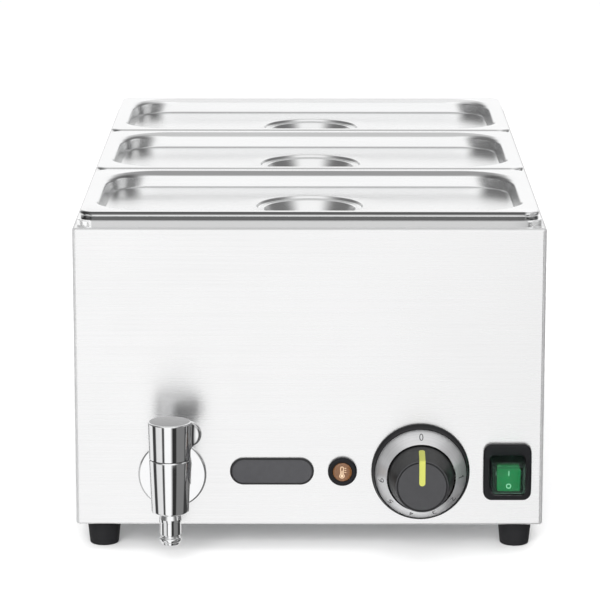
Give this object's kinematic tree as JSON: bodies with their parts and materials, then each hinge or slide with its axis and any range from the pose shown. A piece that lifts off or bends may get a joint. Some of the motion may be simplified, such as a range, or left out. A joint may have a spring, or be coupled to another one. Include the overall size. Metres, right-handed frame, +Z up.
{
  "type": "bain marie",
  "caption": "Countertop electric bain marie: brushed steel casing with a heated water tank, lift-out lidded food pans, drain tap, thermostat dial, lamp and rocker switch.",
  "frame": {"origin": "middle of the bounding box, on the tabletop under the feet", "axes": "+X to the right seen from the front, +Y from the front panel to the back, +Z up"},
  "size_m": [0.33, 0.6054, 0.2433],
  "materials": {
    "casing_steel": "horizontally brushed stainless sheet",
    "inner_steel": "plain stainless sheet",
    "pan_steel": "polished stainless sheet",
    "tap_chrome": "polished chrome",
    "tap_brass": "machined",
    "zinc": "zinc plated",
    "black_rubber": "matt",
    "black_plastic": "satin moulded",
    "knob_plastic": "satin moulded",
    "pointer_yellow": "satin",
    "badge_grey": "satin",
    "lens_amber": "translucent",
    "dial_silver": "circular brushed",
    "cap_clear": "soft clear cap",
    "rocker_green": "gloss",
    "insulation": "moulded",
    "hose_silicone": "matt",
    "element_sheath": "heat stained",
    "copper": "plain",
    "lead_brown": "plain",
    "lead_blue": "plain",
    "lead_green": "plain"
  },
  "bodies": {
    "casing": {"casing_wrap": "casing_steel", "rear_panel": "casing_steel", "rear_panel_screws": "zinc", "base_plate": "inner_steel", "base_screws": "zinc", "tank": "inner_steel", "foot_front_left": "black_rubber", "foot_front_right": "black_rubber", "foot_rear_left": "black_rubber", "foot_rear_right": "black_rubber", "foot_screws": "zinc", "tap_rosette": "tap_chrome", "tap_body": "tap_chrome", "tap_bonnet": "tap_brass", "tap_nozzle": "tap_chrome", "tap_gasket": "black_rubber", "tap_locknut": "tap_brass", "drain_spigot": "inner_steel", "drain_hose": "hose_silicone", "hose_clips": "zinc", "badge": "badge_grey", "lamp_bezel": "black_plastic", "lamp_lens": "lens_amber", "lamp_body": "insulation", "lamp_nut": "black_plastic", "dial_bezel": "black_plastic", "dial_ring": "dial_silver", "thermostat_body": "insulation", "thermostat_screws": "zinc", "sensor_bulb": "copper", "switch_frame": "black_plastic", "switch_cap": "cap_clear", "switch_body": "black_plastic", "rocker_pin": "zinc", "heating_element": "element_sheath", "element_clamps": "inner_steel", "clamp_studs": "zinc", "clamp_nuts": "zinc", "thermal_cutout": "black_plastic", "terminal_block": "insulation", "cable_gland": "black_plastic", "gland_nut": "black_plastic", "live_leads": "lead_brown", "neutral_leads": "lead_blue", "earth_lead": "lead_green"},
    "front_pan": {"pan_front": "pan_steel"},
    "middle_pan": {"pan_middle": "pan_steel"},
    "rear_pan": {"pan_rear": "pan_steel"},
    "front_lid": {"lid_front": "pan_steel", "lid_handle_front": "pan_steel"},
    "middle_lid": {"lid_middle": "pan_steel", "lid_handle_middle": "pan_steel"},
    "rear_lid": {"lid_rear": "pan_steel", "lid_handle_rear": "pan_steel"},
    "dial_knob": {"knob": "knob_plastic", "knob_pointer": "pointer_yellow", "thermostat_spindle": "zinc"},
    "power_rocker": {"rocker": "rocker_green"},
    "tap_lever": {"tap_handle": "tap_chrome", "tap_plug": "tap_brass"}
  },
  "joints": [
    {"name": "front_pan_lift", "type": "slide", "parent": "casing", "child": "front_pan", "axis": [0, 0, 1], "range_m": [0, 0.2]},
    {"name": "front_lid_lift", "type": "slide", "parent": "front_pan", "child": "front_lid", "axis": [0, 0, 1], "range_m": [0, 0.1]},
    {"name": "middle_pan_lift", "type": "slide", "parent": "casing", "child": "middle_pan", "axis": [0, 0, 1], "range_m": [0, 0.2]},
    {"name": "middle_lid_lift", "type": "slide", "parent": "middle_pan", "child": "middle_lid", "axis": [0, 0, 1], "range_m": [0, 0.1]},
    {"name": "rear_pan_lift", "type": "slide", "parent": "casing", "child": "rear_pan", "axis": [0, 0, 1], "range_m": [0, 0.2]},
    {"name": "rear_lid_lift", "type": "slide", "parent": "rear_pan", "child": "rear_lid", "axis": [0, 0, 1], "range_m": [0, 0.1]},
    {"name": "knob_turn", "type": "hinge", "parent": "casing", "child": "dial_knob", "pos_m": [0.0784, -0.2763, 0.0586], "axis": [0, 1, 0], "range_deg": [0, 264]},
    {"name": "rocker_rock", "type": "hinge", "parent": "casing", "child": "power_rocker", "pos_m": [0.1396, -0.2563, 0.0586], "axis": [-1, 0, 0], "range_deg": [0, 12]},
    {"name": "tap_handle_turn", "type": "hinge", "parent": "casing", "child": "tap_lever", "pos_m": [-0.0965, -0.2876, 0.09], "axis": [0, 0, -1], "range_deg": [0, 90]}
  ]
}
